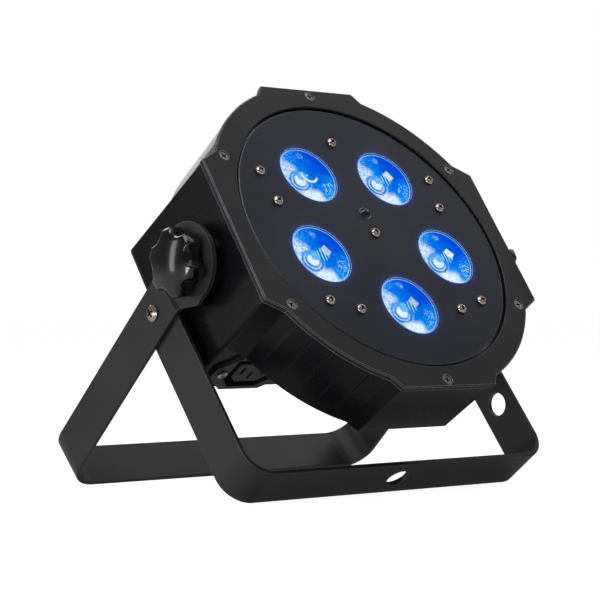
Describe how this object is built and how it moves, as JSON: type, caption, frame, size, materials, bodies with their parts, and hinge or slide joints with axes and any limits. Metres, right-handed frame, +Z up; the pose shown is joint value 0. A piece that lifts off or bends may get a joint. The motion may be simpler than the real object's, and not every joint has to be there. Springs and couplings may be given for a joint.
{
  "type": "par can light",
  "caption": "Flat par can stage light with round collimator lenses, tilting in a yoke by two hand knobs, with a fold-out leg bracket for floor use.",
  "frame": {"origin": "on the floor under the middle of the light, at the middle of its box", "axes": "+Z up; +X along the tilt axis, to the right of someone behind the light; the lenses face -Y and up by 35.2 degrees"},
  "size_m": [0.2448, 0.2072, 0.2204],
  "materials": {
    "bracket_powder_coat": "satin black powder coat",
    "bezel_paint": "fine textured matt black paint",
    "plate_paint": "fine textured matt black paint",
    "housing_plastic": "moulded black, fine grain",
    "cover_plastic": "moulded black, fine grain",
    "knob_plastic": "moulded black, semi-gloss",
    "lens_clear": "clear collimator lit from behind by a blue emitter",
    "holder_plastic": "moulded black",
    "screw_nickel": "dark nickel",
    "screw_black": "black oxide",
    "steel_zinc": "zinc plated",
    "pad_fibre": "pressed friction disc",
    "insert_brass": "turned, threaded inside",
    "heatsink_aluminium": "extruded",
    "circuit_board": "solder mask",
    "led_board_white": "white solder mask",
    "emitter_package": "ceramic package with clear dome",
    "connector_black": "moulded black",
    "connector_grey": "moulded dark grey",
    "pin_nickel": "nickel plated",
    "latch_metal": "satin nickel",
    "display_clear": "dark red window",
    "button_plastic": "moulded black",
    "sensor_blue": "dark blue infra-red window"
  },
  "bodies": {
    "main_bracket": {"main_bracket": "bracket_powder_coat", "left_hinge_screw": "screw_nickel", "left_hinge_washer": "screw_black", "left_hinge_nut": "steel_zinc", "right_hinge_screw": "screw_nickel", "right_hinge_washer": "screw_black", "right_hinge_nut": "steel_zinc"},
    "leg_bracket": {"leg_bracket": "bracket_powder_coat"},
    "head": {"bezel_screws": "screw_nickel", "connector_screws": "screw_nickel", "control_board": "circuit_board", "display_window": "display_clear", "dmx_inlet": "connector_black", "dmx_outlet": "connector_black", "dmx_pins": "pin_nickel", "front_bezel": "bezel_paint", "front_plate": "plate_paint", "heatsink": "heatsink_aluminium", "inlet_blades": "pin_nickel", "led_board": "led_board_white", "led_emitter_1": "emitter_package", "led_emitter_2": "emitter_package", "led_emitter_3": "emitter_package", "led_emitter_4": "emitter_package", "led_emitter_5": "emitter_package", "left_friction_pad": "pad_fibre", "left_threaded_insert": "insert_brass", "lens_1": "lens_clear", "lens_2": "lens_clear", "lens_3": "lens_clear", "lens_4": "lens_clear", "lens_5": "lens_clear", "lens_holder_1": "holder_plastic", "lens_holder_2": "holder_plastic", "lens_holder_3": "holder_plastic", "lens_holder_4": "holder_plastic", "lens_holder_5": "holder_plastic", "main_housing": "housing_plastic", "plate_screws": "screw_nickel", "plate_standoffs": "steel_zinc", "power_board": "circuit_board", "power_inlet": "connector_black", "power_outlet": "connector_grey", "rear_cover": "cover_plastic", "rear_cover_screws": "screw_black", "rear_housing": "housing_plastic", "right_friction_pad": "pad_fibre", "right_threaded_insert": "insert_brass", "sensor_window": "sensor_blue"},
    "left_washer": {"left_knob_washer": "screw_black"},
    "left_knob": {"left_knob": "knob_plastic", "left_knob_stud": "steel_zinc"},
    "right_washer": {"right_knob_washer": "screw_black"},
    "right_knob": {"right_knob": "knob_plastic", "right_knob_stud": "steel_zinc"},
    "menu_button_1": {"menu_button_1": "button_plastic"},
    "menu_button_2": {"menu_button_2": "button_plastic"},
    "menu_button_3": {"menu_button_3": "button_plastic"},
    "menu_button_4": {"menu_button_4": "button_plastic"},
    "dmx_latch": {"dmx_latch": "latch_metal"}
  },
  "joints": [
    {"name": "head_tilt", "type": "hinge", "parent": "main_bracket", "child": "head", "pos_m": [0, -0.02132, 0.12161], "axis": [1, 0, 0], "continuous": true},
    {"name": "leg_fold", "type": "hinge", "parent": "main_bracket", "child": "leg_bracket", "pos_m": [0, 0.00547, 0.09565], "axis": [1, 0, 0], "range_deg": [-6, 170]},
    {"name": "left_washer_slide", "type": "slide", "parent": "head", "child": "left_washer", "axis": [-1, 0, 0], "range_m": [0, 0.0025]},
    {"name": "left_knob_turn", "type": "hinge", "parent": "left_washer", "child": "left_knob", "pos_m": [-0.1105, -0.02132, 0.12161], "axis": [-1, 0, 0], "range_deg": [0, 720]},
    {"name": "right_washer_slide", "type": "slide", "parent": "head", "child": "right_washer", "axis": [1, 0, 0], "range_m": [0, 0.0025]},
    {"name": "right_knob_turn", "type": "hinge", "parent": "right_washer", "child": "right_knob", "pos_m": [0.1105, -0.02132, 0.12161], "axis": [1, 0, 0], "range_deg": [0, 720]},
    {"name": "menu_button_1_press", "type": "slide", "parent": "head", "child": "menu_button_1", "axis": [0, -0.8171, 0.5764], "range_m": [0, 0.0008], "stiffness_N_per_m": 400},
    {"name": "menu_button_2_press", "type": "slide", "parent": "head", "child": "menu_button_2", "axis": [0, -0.8171, 0.5764], "range_m": [0, 0.0008], "stiffness_N_per_m": 400},
    {"name": "menu_button_3_press", "type": "slide", "parent": "head", "child": "menu_button_3", "axis": [0, -0.8171, 0.5764], "range_m": [0, 0.0008], "stiffness_N_per_m": 400},
    {"name": "menu_button_4_press", "type": "slide", "parent": "head", "child": "menu_button_4", "axis": [0, -0.8171, 0.5764], "range_m": [0, 0.0008], "stiffness_N_per_m": 400},
    {"name": "dmx_latch_press", "type": "slide", "parent": "head", "child": "dmx_latch", "axis": [0, 0.5764, 0.8171], "range_m": [0, 0.0015], "stiffness_N_per_m": 600}
  ],
  "couplings": [
    {"joint": "left_knob_turn", "follows": "left_washer_slide", "rad_per_m": 5026.5},
    {"joint": "right_knob_turn", "follows": "right_washer_slide", "rad_per_m": 5026.5}
  ]
}
